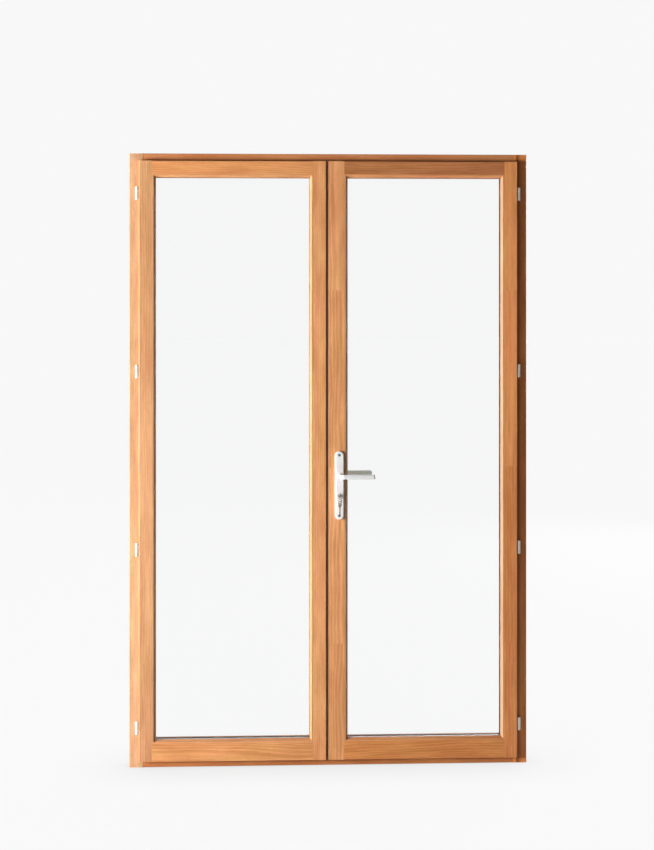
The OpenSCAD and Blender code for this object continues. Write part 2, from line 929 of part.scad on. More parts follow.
// A slide bolt, drawn; s is 1 for the upper one, z is the end of the leaf's body.
module slide_bolt(z, s) {
    x_mid = keep_edge - face_t - slide_gap - bolt_deep / 2;
    end = z - s * bolt_set;
    tab_mid = z - s * (tab_from_end + bolt_set);
    translate([x_mid, edge_y, end - s * bolt_len / 2])
        cube([bolt_deep, bolt_w, bolt_len], center = true);
    translate([keep_edge + tab_h / 2 - (face_t + slide_gap + far) / 2, edge_y, tab_mid])
        cube([tab_h + face_t + slide_gap + far, tab_slot_w - 2 * slide_gap, tab_len], center = true);
}

module upper_slide_bolt() {
    color("lightgray")
        slide_bolt(body_z1, 1);
}

module lower_slide_bolt() {
    color("lightgray")
        slide_bolt(body_z0, -1);
}

// ---------------------------------------------------------------- right leaf: lock stile

cyl_wood_gap = 0.5;      // space round the cylinder in the stile
cyl_case_gap = 0.3;      // the same in the lock case
cyl_plate_gap = 0.15;    // the same in the handle plates
hub_shoulder = 1.5;      // wall of the case that keeps the hub in

// Outline of a key cylinder in X and Z, grown by g all round.
module cylinder_outline(g) {
    circle(d = cyl_d + 2 * g);
    translate([-cyl_lobe_w / 2 - g, -cyl_drop + cyl_lobe_w / 2])
        square([cyl_lobe_w + 2 * g, cyl_drop - cyl_lobe_w / 2]);
    translate([0, -cyl_drop + cyl_lobe_w / 2])
        circle(d = cyl_lobe_w + 2 * g);
}

// A length along Y with its outline in X and Z, at the key cylinder.
module along_cylinder(y0, y1) {
    translate([lever_x, y1, cyl_z])
        rotate([90, 0, 0])
            linear_extrude(y1 - y0)
                children();
}

face_z0 = case_z0 - plate_margin;
face_z1 = case_z1 + plate_margin;
face_screw_end = 9;      // faceplate's screws from its ends
face_screw_zs = [face_z0 + face_screw_end, face_z1 - face_screw_end];

module right_meeting_stile() {
    color("peru")
        difference() {
            translate([right_free, 0, 0])
                upright(leaf_z0, leaf_z1)
                    leaf_outline(lock_stile_face, meet_step);
            end_steps(right_free, right_free + lock_stile_face);
            block([lock_edge - far, case_y0 - case_room, case_z0 - case_room],
                [case_x1 + case_room, case_y1 + case_room, case_z1 + case_room]);
            block([lock_edge - far, edge_y - face_w / 2 - fit, face_z0 - fit],
                [lock_edge + face_t, edge_y + face_w / 2 + fit, face_z1 + fit]);
            bar_y(lever_x, lever_z, plate_hole_d, room_y - far, out_y + far);
            along_cylinder(room_y - far, out_y + far)
                cylinder_outline(cyl_wood_gap);
            for (z = screw_zs)
                bar_y(lever_x, z, screw_d + 2 * fit, room_y - far, out_y + far);
            for (z = face_screw_zs)
                bar_x(edge_y, z, edge_screw_d + 2 * fit, lock_edge, lock_edge + edge_screw_len + fit);
        }
}

// Holes through both sides of the lock case
module case_holes() {
    bar_y(lever_x, lever_z, 2 * (hub_r - hub_shoulder), case_y0 - far, case_y1 + far);
    along_cylinder(case_y0 - far, case_y1 + far)
        cylinder_outline(cyl_case_gap);
}

// The case is a tray, closed by the cover on its outdoor side.
module lock_case() {
    color("gray")
        difference() {
            block([case_x0, case_y0, case_z0], [case_x1, case_y1 - case_wall, case_z1]);
            block([case_x0 + case_wall, case_y0 + case_wall, case_z0 + case_wall],
                [case_x1 - case_wall, case_y1 + far, case_z1 - case_wall]);
            case_holes();
            bolt_windows(case_x0 - far, case_x0 + case_wall + far);
            bar_x(edge_y, cyl_screw_z, screw_d + 2 * fit, case_x0 - far, case_x0 + case_wall + far);
        }
}

module lock_cover() {
    color("gray")
        difference() {
            block([case_x0, case_y1 - case_wall, case_z0], [case_x1, case_y1, case_z1]);
            case_holes();
        }
}

// Openings that the latch and the deadbolt slide through
module bolt_windows(x0, x1) {
    g = slide_gap / 2;
    block([x0, edge_y - latch_t / 2 - g, latch_z - latch_h / 2 - g],
        [x1, edge_y + latch_t / 2 + g, latch_z + latch_h / 2 + g]);
    block([x0, edge_y - dead_t / 2 - g, dead_z - dead_h / 2 - g],
        [x1, edge_y + dead_t / 2 + g, dead_z + dead_h / 2 + g]);
}

module lock_faceplate() {
    color("silver")
        difference() {
            block([lock_edge, edge_y - face_w / 2, face_z0],
                [lock_edge + face_t, edge_y + face_w / 2, face_z1]);
            bolt_windows(lock_edge - far, lock_edge + face_t + far);
            bar_x(edge_y, cyl_screw_z, screw_d + 2 * fit, lock_edge - far, lock_edge + face_t + far);
            for (z = face_screw_zs)
                translate([2 * lock_edge, 0, 0])
                    mirror([1, 0, 0])
                        screw_seat(lock_edge, z);
        }
}

module right_screws() {
    color("lightgray")
        for (z = face_screw_zs)
            translate([2 * lock_edge, 0, 0])
                mirror([1, 0, 0])
                    edge_screw(lock_edge, z);
}

// ---------------------------------------------------------------- handle plates

plate_skin = 2;          // metal left over the blind screw holes
screw_sunk = 0.4;        // plate screws' heads below the face of the plate
screw_back = 3;          // tip of a plate screw from the outdoor face
hex_d = 4;
hex_deep = 1.5;

// A long plate with round ends and sloped edges. Its back lies on Y = 0.
module handle_plate() {
    b = plate_bevel;
    straight = plate_len - plate_w;
    translate([lever_x, 0, plate_mid - straight / 2])
        linear_extrude(straight)
            polygon([[-plate_r, 0], [plate_r, 0], [plate_r, -plate_t + b],
                [plate_r - b, -plate_t], [-plate_r + b, -plate_t], [-plate_r, -plate_t + b]]);
    for (s = [-1, 1])
        translate([lever_x, 0, plate_mid + s * straight / 2])
            rotate([90, 0, 0])
                rotate_extrude()
                    polygon([[0, 0], [plate_r, 0], [plate_r, plate_t - b],
                        [plate_r - b, plate_t], [0, plate_t]]);
}

// Holes through a plate for the lever's neck and the key cylinder
module plate_holes(y0, y1) {
    bar_y(lever_x, lever_z, journal_d + 2 * run, y0, y1);
    along_cylinder(y0, y1)
        cylinder_outline(cyl_plate_gap);
}

module inside_plate() {
    color("lightsteelblue")
        difference() {
            translate([0, room_y, 0])
                handle_plate();
            plate_holes(room_y - plate_t - far, room_y + far);
            for (z = screw_zs) {
                bar_y(lever_x, z, screw_d + 2 * fit, room_y - plate_t - far, room_y + far);
                bar_y(lever_x, z, screw_head_d + 2 * fit, room_y - plate_t - far,
                    room_y - plate_t + screw_head_h + fit);
            }
        }
}

// The outdoor plate has blind threaded holes, so no screw shows outside.
module outside_plate() {
    color("lightsteelblue")
        difference() {
            translate([0, out_y, 0])
                mirror([0, 1, 0])
                    handle_plate();
            plate_holes(out_y - far, out_y + plate_t + far);
            for (z = screw_zs)
                bar_y(lever_x, z, screw_d + 2 * fit, out_y - far, out_y + plate_t - plate_skin);
        }
}

// Two screws clamp both plates to the stile.
module plate_screws() {
    y0 = room_y - plate_t + screw_sunk;
    color("dimgray")
        for (z = screw_zs)
            difference() {
                union() {
                    bar_y(lever_x, z, screw_d, y0, out_y + plate_t - screw_back);
                    bar_y(lever_x, z, screw_head_d, y0, room_y - plate_t + screw_head_h);
                }
                translate([lever_x, y0, z])
                    rotate([90, 0, 0])
                        cylinder(h = 2 * hex_deep, d = hex_d, center = true, $fn = 6);
            }
}

// ---------------------------------------------------------------- key cylinder

module cylinder_body() {
    color("gainsboro")
        difference() {
            along_cylinder(cyl_y0, cyl_y1)
                cylinder_outline(0);
            bar_y(lever_x, cyl_z, plug_d + 2 * run, cyl_y0 - far, cyl_y1 + far);
            block([lever_x - cyl_d, edge_y - cam_room / 2, cyl_z - cam_r - slide_gap],
                [lever_x + cyl_d, edge_y + cam_room / 2, cyl_z + cyl_d]);
            bar_x(edge_y, cyl_screw_z, screw_d + 2 * fit, lever_x - cyl_lobe_w, lever_x + cyl_lobe_w);
        }
}

screw_past = 1;          // cylinder screw past the far side of the cylinder

// Machine screw that holds the cylinder, from the lock faceplate
module cylinder_screw() {
    color("lightgray")
        bar_x(edge_y, cyl_screw_z, screw_d, lock_edge, lever_x + cyl_lobe_w / 2 + screw_past);
}

key_slot_w = 2.4;
key_slot_h = 9;
key_blade_t = 2;
key_blade_h = 8.4;
key_bow_d = 24;
key_bow_t = 2.6;
key_neck = 4;
key_hole_d = 6;
plug_set = 0.3;
key_depth = 26;          // length of the blade inside the plug
slot_deeper = 1;         // key slot beyond the tip of the key
plug_gap = 0.2;          // plugs kept back from the room for the cam
notch_count = 5;
notch_step = 4;
notch_w = 2;
notch_d = 1.2;
notch_rise = 0.6;        // each of three depths is this much more
notch_depths = 3;
inner_plug_y1 = edge_y - cam_room / 2 - plug_gap;
outer_plug_y0 = edge_y + cam_room / 2 + plug_gap;

module plug(y0, y1, slot_y0, slot_y1) {
    difference() {
        bar_y(lever_x, cyl_z, plug_d, y0, y1);
        block([lever_x - key_slot_w / 2, slot_y0, cyl_z - key_slot_h / 2],
            [lever_x + key_slot_w / 2, slot_y1, cyl_z + key_slot_h / 2]);
    }
}

module inner_plug() {
    color("goldenrod")
        plug(cyl_y0 + plug_set, inner_plug_y1, cyl_y0 - far, cyl_y0 + key_depth + slot_deeper);
}

module outer_plug() {
    color("goldenrod")
        plug(outer_plug_y0, cyl_y1 - plug_set, cyl_y1 - key_depth - slot_deeper, cyl_y1 + far);
}

// The cam turns with the plug and drives the deadbolt.
module cylinder_cam() {
    color("gray") {
        intersection() {
            union() {
                bar_y(lever_x, cyl_z, 2 * cam_hub_r, edge_y - cam_t / 2, edge_y + cam_t / 2);
                block([lever_x - cam_tooth_w / 2, edge_y - cam_t / 2, cyl_z - cam_r - far],
                    [lever_x + cam_tooth_w / 2, edge_y + cam_t / 2, cyl_z]);
            }
            bar_y(lever_x, cyl_z, 2 * cam_r, edge_y - cam_t, edge_y + cam_t);
        }
    }
}

module door_key() {
    bow_y = cyl_y0 - key_neck - key_bow_d / 2;
    color("lightgray")
        difference() {
            union() {
                block([lever_x - key_blade_t / 2, bow_y, cyl_z - key_blade_h / 2],
                    [lever_x + key_blade_t / 2, cyl_y0 + key_depth, cyl_z + key_blade_h / 2]);
                bar_x(bow_y, cyl_z, key_bow_d, lever_x - key_bow_t / 2, lever_x + key_bow_t / 2);
            }
            bar_x(bow_y - key_bow_d / 4, cyl_z, key_hole_d, lever_x - key_bow_t, lever_x + key_bow_t);
            for (i = [0 : notch_count - 1])
                block([lever_x - key_bow_t, cyl_y0 + notch_step * (i + 1), cyl_z - key_blade_h],
                    [lever_x + key_bow_t, cyl_y0 + notch_step * (i + 1) + notch_w,
                        cyl_z - key_blade_h / 2 + notch_d + (i % notch_depths) * notch_rise]);
        }
}

// ---------------------------------------------------------------- levers

lever_round = 4;         // rounding of the lever bar's section
lever_play = 0.3;        // gap between the lever's shoulder and the plate
collar_len = 6;          // round collar from the face of the plate
collar_wall = 1.5;       // collar beyond the part that turns in the plate
neck_from = 4;           // start of the flat neck, inside the collar
spindle_in = 13;         // how far the spindle runs into a lever
socket_room = 1;         // socket beyond the end of the spindle

// Section of the lever: lever_t across X, lever_h across Y, centred.
module lever_section() {
    r = lever_round;
    translate([-lever_t / 2, -lever_h / 2])
        difference() {
            square([lever_t, lever_h]);
            corner_cut(0, 0, 1, 1, r);
            corner_cut(lever_t, 0, -1, 1, r);
            corner_cut(0, lever_h, 1, -1, r);
            corner_cut(lever_t, lever_h, -1, -1, r);
        }
}

// A lever on the turning line at X = 0, Z = 0. The plate's face is at Y = 0, the bar points to +X.
module lever() {
    elbow_y = -neck_len;
    socket = spindle + 2 * fit;
    difference() {
        union() {
            bar_y(0, 0, journal_d, -collar_len, plate_t);
            bar_y(0, 0, journal_d + 2 * collar_wall, -collar_len, -lever_play);
            translate([0, -neck_from, 0])
                rotate([90, 0, 0])
                    linear_extrude(neck_len - neck_from)
                        lever_section();
            translate([elbow_r, elbow_y, 0])
                rotate([0, 0, 180])
                    rotate_extrude(angle = 90)
                        translate([elbow_r, 0])
                            lever_section();
            translate([elbow_r, elbow_y - elbow_r, 0])
                rotate([90, 0, 90])
                    linear_extrude(lever_len - elbow_r - lever_t / 2)
                        lever_section();
            translate([lever_len - lever_t / 2, elbow_y - elbow_r, 0])
                lever_tip();
        }
        block([-socket / 2, -spindle_in - socket_room, -socket / 2], [socket / 2, plate_t + far, socket / 2]);
    }
}

// The bar ends in a half round, with the same rounded edges.
module lever_tip() {
    rotate([0, 0, -90])
        rotate_extrude(angle = 180)
            intersection() {
                lever_section();
                translate([0, -lever_h])
                    square([lever_t, 2 * lever_h]);
            }
}

module inside_lever() {
    color("lightsteelblue")
        translate([lever_x, room_y - plate_t, lever_z])
            lever();
}

module outside_lever() {
    color("lightsteelblue")
        translate([lever_x, out_y + plate_t, lever_z])
            mirror([0, 1, 0])
                lever();
}

module lever_spindle() {
    color("gray")
        block([lever_x - spindle / 2, room_y - plate_t - spindle_in, lever_z - spindle / 2],
            [lever_x + spindle / 2, out_y + plate_t + spindle_in, lever_z + spindle / 2]);
}

// The hub sits on the spindle inside the case; its arm draws the latch.
module lever_hub() {
    hole = spindle + 2 * fit;
    color("gray")
        difference() {
            union() {
                bar_y(lever_x, lever_z, 2 * hub_r, edge_y - hub_t / 2, edge_y + hub_t / 2);
                translate([lever_x, edge_y, lever_z])
                    rotate([0, -arm_lean, 0])
                        block([-arm_w / 2, -hub_t / 2, 0], [arm_w / 2, hub_t / 2, arm_r]);
            }
            block([lever_x - hole / 2, edge_y - hub_t, lever_z - hole / 2],
                [lever_x + hole / 2, edge_y + hub_t, lever_z + hole / 2]);
        }
}

// ---------------------------------------------------------------- bolts

// The latch is sloped on its outdoor side, so that it slips in as the leaf closes.
module latch_bolt() {
    tip = lock_edge - latch_throw;
    y0 = edge_y - latch_t / 2;
    y1 = edge_y + latch_t / 2;
    color("silver") {
        translate([0, 0, latch_z - latch_h / 2])
            linear_extrude(latch_h)
                polygon([[tip, y0], [latch_tail, y0], [latch_tail, y1],
                    [lock_edge - latch_flat, y1], [tip, y0 + latch_nose]]);
        block([latch_tail - lug_t, y0, lever_z + lug_up], [latch_tail, y1, latch_z]);
    }
}

module dead_bolt() {
    color("silver")
        block([lock_edge, edge_y - dead_t / 2, dead_z - dead_h / 2],
            [dead_tail, edge_y + dead_t / 2, dead_z + dead_h / 2]);
}

jamb_left();
jamb_right();
frame_head();
frame_sill();
frame_seal();
bolt_keeps();
frame_knuckles_left();
frame_knuckles_right();
hinge_pins();
left_hinge_stile();
left_meeting_stile();
left_top_rail();
left_bottom_rail();
left_upright_beads();
left_level_beads();
left_inner_pane();
left_outer_pane();
left_spacer();
left_glazing_tapes();
left_setting_blocks();
left_knuckles();
meeting_seal();
strike_plate();
bolt_plates();
left_screws();
upper_slide_bolt();
lower_slide_bolt();
right_hinge_stile();
right_meeting_stile();
right_top_rail();
right_bottom_rail();
right_upright_beads();
right_level_beads();
right_inner_pane();
right_outer_pane();
right_spacer();
right_glazing_tapes();
right_setting_blocks();
right_knuckles();
lock_case();
lock_cover();
lock_faceplate();
right_screws();
inside_plate();
outside_plate();
plate_screws();
cylinder_body();
cylinder_screw();
outer_plug();
inside_lever();
outside_lever();
lever_spindle();
lever_hub();
latch_bolt();
dead_bolt();
inner_plug();
cylinder_cam();
door_key();
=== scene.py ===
# %% [markdown]
# # A pair of french doors in Blender
# The doors come from a CAD model, so every timber, hinge and handle already has its real
# size and place. Blender's job is the look: wood that reads as wood, satin metal, clear
# glass, soft light and a camera. Everything is in metres; X runs across the doorway, the
# room is on the -Y side, and Z runs up from the underside of the sill.

# %% Load the frame
import math

import bpy
from mathutils import Matrix, Vector


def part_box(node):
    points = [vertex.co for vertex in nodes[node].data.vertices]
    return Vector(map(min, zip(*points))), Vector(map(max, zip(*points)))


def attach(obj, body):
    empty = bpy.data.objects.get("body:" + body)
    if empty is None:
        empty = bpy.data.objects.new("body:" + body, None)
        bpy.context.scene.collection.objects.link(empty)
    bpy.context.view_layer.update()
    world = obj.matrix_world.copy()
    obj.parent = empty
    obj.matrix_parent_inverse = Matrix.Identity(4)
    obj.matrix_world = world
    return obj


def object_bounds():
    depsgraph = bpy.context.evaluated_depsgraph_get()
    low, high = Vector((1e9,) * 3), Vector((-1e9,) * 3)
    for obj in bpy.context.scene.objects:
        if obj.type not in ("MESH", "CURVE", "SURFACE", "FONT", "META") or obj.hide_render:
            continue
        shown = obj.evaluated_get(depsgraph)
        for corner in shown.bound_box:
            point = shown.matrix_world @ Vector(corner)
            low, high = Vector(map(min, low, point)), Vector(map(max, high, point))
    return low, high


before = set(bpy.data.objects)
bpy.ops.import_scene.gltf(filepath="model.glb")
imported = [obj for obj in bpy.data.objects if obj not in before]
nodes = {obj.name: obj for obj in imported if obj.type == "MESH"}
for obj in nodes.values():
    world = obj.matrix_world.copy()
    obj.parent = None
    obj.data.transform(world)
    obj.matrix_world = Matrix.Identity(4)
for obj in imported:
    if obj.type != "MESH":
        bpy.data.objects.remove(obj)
cad_low, cad_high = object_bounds()
print("CAD box", [round(v, 3) for v in (*cad_low, *cad_high)], "with", len(nodes), "nodes")

# %% [markdown]
# ## A short way to write shader maths
# A finish is a tree of nodes. Wiring each node by hand hides the idea, so a Wire stands for
# one output of a node, and adding or multiplying wires adds the Math nodes. The reflected
# forms let a plain number stand on the left, as in 1 - mask.

# %% Wires
class Wire:
    """One number, colour or direction that varies over a surface."""

    def __init__(self, finish, socket):
        self.finish = finish
        self.socket = socket

    def _math(self, operation, first, second):
        return self.finish.add("ShaderNodeMath", {"operation": operation}, {0: first, 1: second})

    def __add__(self, other):
        return self._math("ADD", self, other)

    def __radd__(self, other):
        return self._math("ADD", other, self)

    def __sub__(self, other):
        return self._math("SUBTRACT", self, other)

    def __rsub__(self, other):
        return self._math("SUBTRACT", other, self)

    def __mul__(self, other):
        return self._math("MULTIPLY", self, other)

    def __rmul__(self, other):
        return self._math("MULTIPLY", other, self)

    def __pow__(self, other):
        return self._math("POWER", self, other)

    def __rpow__(self, other):
        return self._math("POWER", other, self)


print("wires ready")

# %% [markdown]
# A Finish holds one material, or the world, and its add method makes any node: first the
# settings, then what goes into the sockets. The other methods are the few recipes that come
# back in every finish on the doors: noise, a smooth step, a mix of two colours, and relief.

# %% Finishes
class Finish:
    """One material, or one world, and the nodes in it."""

    def __init__(self, name, owner=None):
        self.material = owner or bpy.data.materials.new(name)
        self.material.use_nodes = True
        self.tree = self.material.node_tree
        self.tree.nodes.clear()

    def add(self, kind, settings=None, inputs=None, out=0):
        """Any node: its settings are set first, then its sockets; gives the output asked for."""
        node = self.tree.nodes.new(kind)
        for key, value in (settings or {}).items():
            setattr(node, key, value)
        for key, value in (inputs or {}).items():
            if isinstance(value, Wire):
                self.tree.links.new(value.socket, node.inputs[key])
            else:
                node.inputs[key].default_value = value
        return Wire(self, node.outputs[out]) if node.outputs else None

    def place(self):
        """The point on the surface, in metres, as three wires."""
        point = self.add("ShaderNodeTexCoord", out="Object")
        parts = self.add("ShaderNodeSeparateXYZ", inputs={0: point})
        outs = parts.socket.node.outputs
        return [Wire(self, outs[i]) for i in range(3)]

    def noise(self, along, detail=2.0, roughness=0.5):
        """Soft random values from 0 to 1 at three stretched coordinates."""
        where = self.add("ShaderNodeCombineXYZ", inputs=dict(enumerate(along)))
        settings = {"noise_dimensions": "3D"}
        return self.add("ShaderNodeTexNoise", settings,
                        {"Vector": where, "Scale": 1.0, "Detail": detail, "Roughness": roughness})

    def length(self, first, second):
        """How long a line is that goes so far one way and so far square to it."""
        corner = self.add("ShaderNodeCombineXYZ", inputs={0: first, 1: second})
        return self.add("ShaderNodeVectorMath", {"operation": "LENGTH"}, {0: corner}, out="Value")

    def sine(self, value, period):
        """A wave from -1 to 1 that comes back every period."""
        turns = value * (2 * math.pi / period)
        return self.add("ShaderNodeMath", {"operation": "SINE"}, {0: turns})

    def fade(self, value, low, high, to_low=0.0, to_high=1.0):
        """A smooth step: to_low below low, to_high above high."""
        return self.add("ShaderNodeMapRange", {"interpolation_type": "SMOOTHSTEP"},
                        {0: value, 1: low, 2: high, 3: to_low, 4: to_high})

    def blend(self, factor, first, second, how="MIX"):
        """Two colours mixed by a factor."""
        settings = {"data_type": "RGBA", "blend_type": how, "clamp_factor": True}
        return self.add("ShaderNodeMix", settings, {0: factor, 6: first, 7: second}, out=2)

    def bump(self, height, strength, distance):
        """Relief: distance is how many metres a height of 1 stands for."""
        return self.add("ShaderNodeBump",
                        inputs={"Height": height, "Strength": strength, "Distance": distance})

    def looked_at(self):
        """1 for a ray from the camera, or one that came from it through glass; 0 for light."""
        camera_ray = self.add("ShaderNodeLightPath", out="Is Camera Ray")
        outs = camera_ray.socket.node.outputs
        unscattered = self.add("ShaderNodeMath", {"operation": "LESS_THAN"},
                               {0: Wire(self, outs["Diffuse Depth"]), 1: 0.5})
        through = Wire(self, outs["Is Transmission Ray"]) * unscattered
        return self.add("ShaderNodeMath", {"operation": "MAXIMUM"}, {0: camera_ray, 1: through})

    def surface(self, **sockets):
        """The Principled shader; underscores in the names stand for spaces."""
        inputs = {key.replace("_", " "): value for key, value in sockets.items()}
        shader = self.add("ShaderNodeBsdfPrincipled", inputs=inputs)
        self.add("ShaderNodeOutputMaterial", inputs={0: shader})
        return self.material


print("finishes ready")

# %% [markdown]
# Four small helpers follow. A CAD piece keeps its place and its mesh, so a finish goes into
# the material slots that it already has. Round faces could be cut finer, but smooth shading
# with the sharp edges kept gives the same look and leaves the mesh alone.

# %% Colours and pieces
def rgb(red, green, blue):
    """A colour as Blender's sockets want it."""
    return (red, green, blue, 1.0)


def tint(colour, red, green, blue):
    """A colour with each channel scaled."""
    return rgb(colour[0] * red, colour[1] * green, colour[2] * blue)


def finish_node(name, material):
    """Gives a CAD node its finish in every material slot."""
    mesh = nodes[name].data
    if not mesh.materials:
        mesh.materials.append(material)
    for i in range(len(mesh.materials)):
        mesh.materials[i] = material


def smooth(name, degrees=30):
    """Shades round faces smoothly and keeps the sharp edges."""
    mesh = nodes[name].data
    mesh.shade_smooth()
    mesh.set_sharp_from_angle(angle=math.radians(degrees))


print("colours and pieces ready")

# %% [markdown]
# ## Timber
# The real doors are planed from a warm, orange brown hardwood under a clear satin lacquer.
# An image of wood would repeat and would stop at every edge. Here the grain is built from
# what grows, worked out from the point in space, so it runs into the timber and turns at the
# joints by itself. Every layer of it is noise drawn out along the board, at its own scale.

# %% Grain
# waves per metre along the grain and across it
TONE_WAVES = (1.3, 5.0)       # slow changes of tone
SWAY_WAVES = (2.4, 9.0)       # how the growth rings wander
HUE_WAVES = (3.1, 24.0)       # redder and yellower streaks
MOTTLE_WAVES = (6.5, 42.0)    # flecks of figure
FIBRE_WAVES = (16.0, 620.0)
PORE_WAVES = (60.0, 1500.0)


def grain_noise(wood, spot, waves, shift, detail, roughness=0.5):
    """spot is the run along the board, across it and through it; shift is how far the noise
    is moved along and across, so that each board comes from another part of the tree."""
    run, across, deep = spot
    return wood.noise([run * waves[0] + shift[0], across * waves[1] + shift[1], deep * waves[1]],
                      detail, roughness)


print("grain layers: 6")

# %% [markdown]
# Growth rings are circles round a pith that lies a little off the board. A flat wave pattern
# would look printed; the distance from a pith line that wanders and leans gives straight
# grain far from the pith and arches near it, as in a real plank. Long members are glued up
# from short blocks, and each block starts another stretch of the tree.

# %% Rings and blocks
RING_GAP = 0.0055   # metres between two growth rings
RING_WANDER = 0.03  # metres that a ring sways to the side
RING_RAGGED = 0.009
BLOCK = 0.62        # metres of timber between two finger joints
BLOCK_START = 0.43  # height of the lowest finger joint
BLOCK_SHIFT = 7.0   # metres along the tree from one block to the next, at most


def growth_rings(wood, spot, sway, mottle, pith, figure):
    """1 in the pale early wood of a ring and 0 in its dark late wood."""
    run, across, deep = spot
    off = (across + sway * RING_WANDER * figure + (mottle - 0.5) * RING_RAGGED
           + run * pith[2] - pith[0])
    wave = wood.sine(wood.length(off, deep - pith[1]), RING_GAP)
    return (wave * 0.5 + 0.5) ** 1.6


def block_step(wood, run, seed):
    """A value from 0 to 1 that changes at each finger joint."""
    block = wood.add("ShaderNodeMath", {"operation": "FLOOR"},
                     {0: (run - BLOCK_START) * (1 / BLOCK)})
    return wood.add("ShaderNodeTexWhiteNoise", {"noise_dimensions": "1D"}, {"W": block + seed})


print("rings every", RING_GAP, "m, blocks of", BLOCK, "m")

# %% [markdown]
# The finish changes by place: the arris on the room side is rubbed thinner and paler, the
# arris at the meeting line carries painted shade for the narrow gap, a painted shadow of the
# right leaf's edge lies on the right jamb beside it, and the face against the wall is darker.
# Each is a mask from the board's own box in the CAD, so it stays where it belongs when the
# doors change size.

# %% Wear, painted shade and painted shadow
RUBBED_FROM, RUBBED_TO = 0.0012, 0.0045   # metres from the arris
WALL_SIDE_EDGE = (0.0002, 0.0006)              # metres in from the wall face
# the painted shadow band of the right leaf on the right jamb: where it starts and how far it fades
SHADOW_BEFORE, SHADOW_AFTER = 0.004, 0.018    # metres either side of the leaf's edge
SHADOW_DARK = 0.72


def rubbed_arris(wood, across, deep, low, high, sway):
    """1 on the two long edges towards the room, and 0 a few millimetres away."""
    nearest = wood.add("ShaderNodeMath", {"operation": "MINIMUM"},
                       {0: across - low[0], 1: high[0] - across})
    far = wood.length(nearest, deep - low[1]) + sway * 0.002
    return wood.fade(far, RUBBED_FROM, RUBBED_TO, 1.0, 0.0)


def wall_face(wood, across, low, high, on_the_left):
    """1 on the face of a jamb that stands against the wall."""
    if on_the_left:
        return wood.fade(across, low[0] + WALL_SIDE_EDGE[0], low[0] + WALL_SIDE_EDGE[1], 1.0, 0.0)
    return wood.fade(across, high[0] - WALL_SIDE_EDGE[1], high[0] - WALL_SIDE_EDGE[0])


def leaf_shadow_band(wood, across, start):
    """A painted shadow: a dark band that starts at a line and fades out beyond it."""
    return (wood.fade(across, start - SHADOW_BEFORE, start)
            * wood.fade(across, start, start + SHADOW_AFTER, SHADOW_DARK, 0.0))


# dust in the line below is the painted shadow band on the right jamb
print("masks ready: arris, wall face, dust")

# %% [markdown]
# The finish puts the layers together. All of them push one grain value up or down, which
# mixes a light and a dark tone of the same board; pores, the rubbed arris, the darker wall
# face, painted shade at the meeting gap and a painted shadow on the right jamb are laid over
# that. The lacquer is a thin satin coat: strong gloss would turn the faces white in raking light.

# %% Timber finish
PORE_DARK = 0.5     # how dark an open pore is
# tones as shares of the board's own red, green and blue
LATE_WOOD = (0.80, 0.71, 0.62)
EARLY_WOOD = (1.17, 1.22, 1.30)
REDDER = rgb(1.0, 0.90, 0.96)
OPEN_PORE = (0.46, 0.34, 0.26)
RUBBED_WOOD = (1.08, 1.12, 1.18)
# the darker tone of the face against the wall
WALL_SIDE_TONE = (0.52, 0.42, 0.34)
# painted shade: the dark colour laid on the arris in the narrow gap at the meeting line
GAP_SHADE_COLOUR = (0.10, 0.06, 0.04)
# painted shadow: the colour of the right leaf's shadow laid on the right jamb
LEAF_SHADOW_COLOUR = (0.10, 0.05, 0.03)


